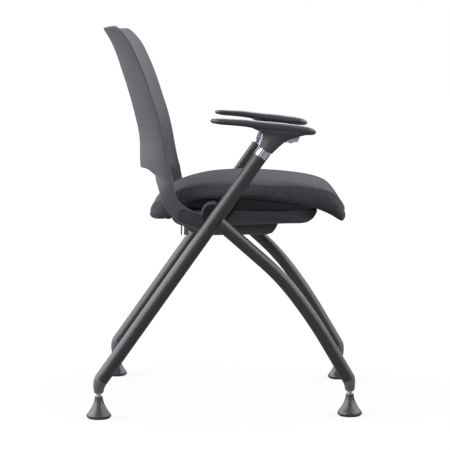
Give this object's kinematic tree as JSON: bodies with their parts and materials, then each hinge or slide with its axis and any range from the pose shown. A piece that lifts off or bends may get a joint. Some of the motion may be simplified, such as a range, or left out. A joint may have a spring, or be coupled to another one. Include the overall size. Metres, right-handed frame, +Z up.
{
  "type": "nesting chair",
  "caption": "Office nesting chair: padded seat flips up on a cross tube, moulded plastic back reclines on a sprung pivot, arm rests, bent tube legs on swivelling bell glides.",
  "frame": {"origin": "bottom centre of the whole chair's box, on the floor between the legs", "axes": "+Z up, the chair faces -Y, +X to the sitter's left"},
  "size_m": [0.6138, 0.5814, 0.8224],
  "materials": {
    "coated_steel": "satin powder coat",
    "cap_plastic": "fine grained",
    "glide_plastic": "satin",
    "rubber": "matt",
    "chrome": "polished",
    "zinc_steel": "zinc plated",
    "cover_plastic": "fine grained",
    "pad_plastic": "soft moulded skin",
    "seat_fabric": "woven polyester",
    "back_plastic": "fine grained"
  },
  "bodies": {
    "frame": {"left_rear_leg": "coated_steel", "right_rear_leg": "coated_steel", "left_front_leg": "coated_steel", "right_front_leg": "coated_steel", "rear_left_cap": "cap_plastic", "rear_right_cap": "cap_plastic", "front_left_cap": "cap_plastic", "front_right_cap": "cap_plastic", "cross_tube": "coated_steel", "left_mounting_plate": "coated_steel", "right_mounting_plate": "coated_steel", "frame_bolts": "zinc_steel", "left_stop_collar": "zinc_steel", "right_stop_collar": "zinc_steel", "left_arm_casting": "chrome", "right_arm_casting": "chrome", "left_arm_neck": "cover_plastic", "right_arm_neck": "cover_plastic", "left_arm_pad": "pad_plastic", "right_arm_pad": "pad_plastic", "arm_screws": "zinc_steel"},
    "seat": {"seat_cushion": "seat_fabric", "seat_pan": "cover_plastic", "under_cover": "cover_plastic", "mechanism_cover": "cover_plastic", "seat_spine": "zinc_steel", "rear_catch": "zinc_steel", "left_seat_bracket": "zinc_steel", "right_seat_bracket": "zinc_steel", "left_seat_bush": "rubber", "right_seat_bush": "rubber", "seat_screws": "zinc_steel"},
    "back": {"back_shell": "back_plastic", "left_back_bracket": "zinc_steel", "right_back_bracket": "zinc_steel", "left_back_bush": "rubber", "right_back_bush": "rubber", "left_oval_cover": "back_plastic", "right_oval_cover": "back_plastic", "back_screws": "zinc_steel"},
    "rear_left_foot": {"rear_left_stem": "chrome", "rear_left_glide": "glide_plastic", "rear_left_sole": "rubber"},
    "rear_right_foot": {"rear_right_stem": "chrome", "rear_right_glide": "glide_plastic", "rear_right_sole": "rubber"},
    "front_left_foot": {"front_left_stem": "chrome", "front_left_glide": "glide_plastic", "front_left_sole": "rubber"},
    "front_right_foot": {"front_right_stem": "chrome", "front_right_glide": "glide_plastic", "front_right_sole": "rubber"}
  },
  "joints": [
    {"name": "seat_flip", "type": "hinge", "parent": "frame", "child": "seat", "pos_m": [0, 0.02603, 0.42837], "axis": [-1, 0, 0], "range_deg": [0, 75]},
    {"name": "back_recline", "type": "hinge", "parent": "frame", "child": "back", "pos_m": [0, 0.02603, 0.42837], "axis": [-1, 0, 0], "range_deg": [0, 10], "stiffness_Nm_per_rad": 60, "springref_deg": -20.05},
    {"name": "rear_left_swivel", "type": "hinge", "parent": "frame", "child": "rear_left_foot", "pos_m": [0.261, 0.2645, 0.05], "axis": [0, 0, 1], "continuous": true},
    {"name": "rear_right_swivel", "type": "hinge", "parent": "frame", "child": "rear_right_foot", "pos_m": [-0.261, 0.2645, 0.05], "axis": [0, 0, 1], "continuous": true},
    {"name": "front_left_swivel", "type": "hinge", "parent": "frame", "child": "front_left_foot", "pos_m": [0.226, -0.2645, 0.05], "axis": [0, 0, 1], "continuous": true},
    {"name": "front_right_swivel", "type": "hinge", "parent": "frame", "child": "front_right_foot", "pos_m": [-0.226, -0.2645, 0.05], "axis": [0, 0, 1], "continuous": true}
  ]
}
